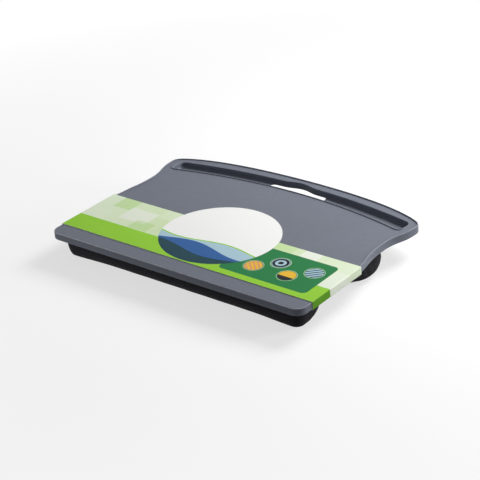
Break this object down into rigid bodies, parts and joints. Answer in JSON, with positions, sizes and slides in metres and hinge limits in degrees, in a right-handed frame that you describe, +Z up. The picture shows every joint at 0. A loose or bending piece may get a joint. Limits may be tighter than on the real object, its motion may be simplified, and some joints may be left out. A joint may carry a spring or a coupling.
{
  "type": "lap desk",
  "caption": "Lap desk: a moulded tray with a pen trough and hand slot, carried on soft bead-filled bolsters, with a printed card sleeve that slips off over the front.",
  "frame": {"origin": "on the ground under the middle of the desk's plan, where the bolsters rest", "axes": "+X to the user's right along the desk's width, +Y away from the user towards the pen trough, +Z up"},
  "size_m": [0.504, 0.366, 0.0499],
  "materials": {
    "slate_plastic": "slate grey moulded plastic with a fine texture",
    "black_plastic": "black moulded plastic panel",
    "zinc_steel": "zinc-plated screw steel",
    "black_fabric": "black woven cover cloth with a soft nap",
    "bead_fill": "white foam micro-beads",
    "printed_card": "thin coated card with a lime and pale green print"
  },
  "bodies": {
    "desk": {"tray": "slate_plastic", "base_panel": "black_plastic", "panel_screw_1": "zinc_steel", "panel_screw_2": "zinc_steel", "panel_screw_3": "zinc_steel", "panel_screw_4": "zinc_steel", "panel_screw_5": "zinc_steel", "panel_screw_6": "zinc_steel", "panel_screw_7": "zinc_steel", "panel_screw_8": "zinc_steel", "panel_screw_9": "zinc_steel", "panel_screw_10": "zinc_steel", "front_bolster_cover": "black_fabric", "front_bolster_fill": "bead_fill", "rear_bolster_cover": "black_fabric", "rear_bolster_fill": "bead_fill"},
    "sleeve": {"card_sleeve": "printed_card"}
  },
  "joints": [
    {"name": "sleeve_slide", "type": "slide", "parent": "desk", "child": "sleeve", "axis": [0, -1, 0], "range_m": [0, 0.235]}
  ]
}
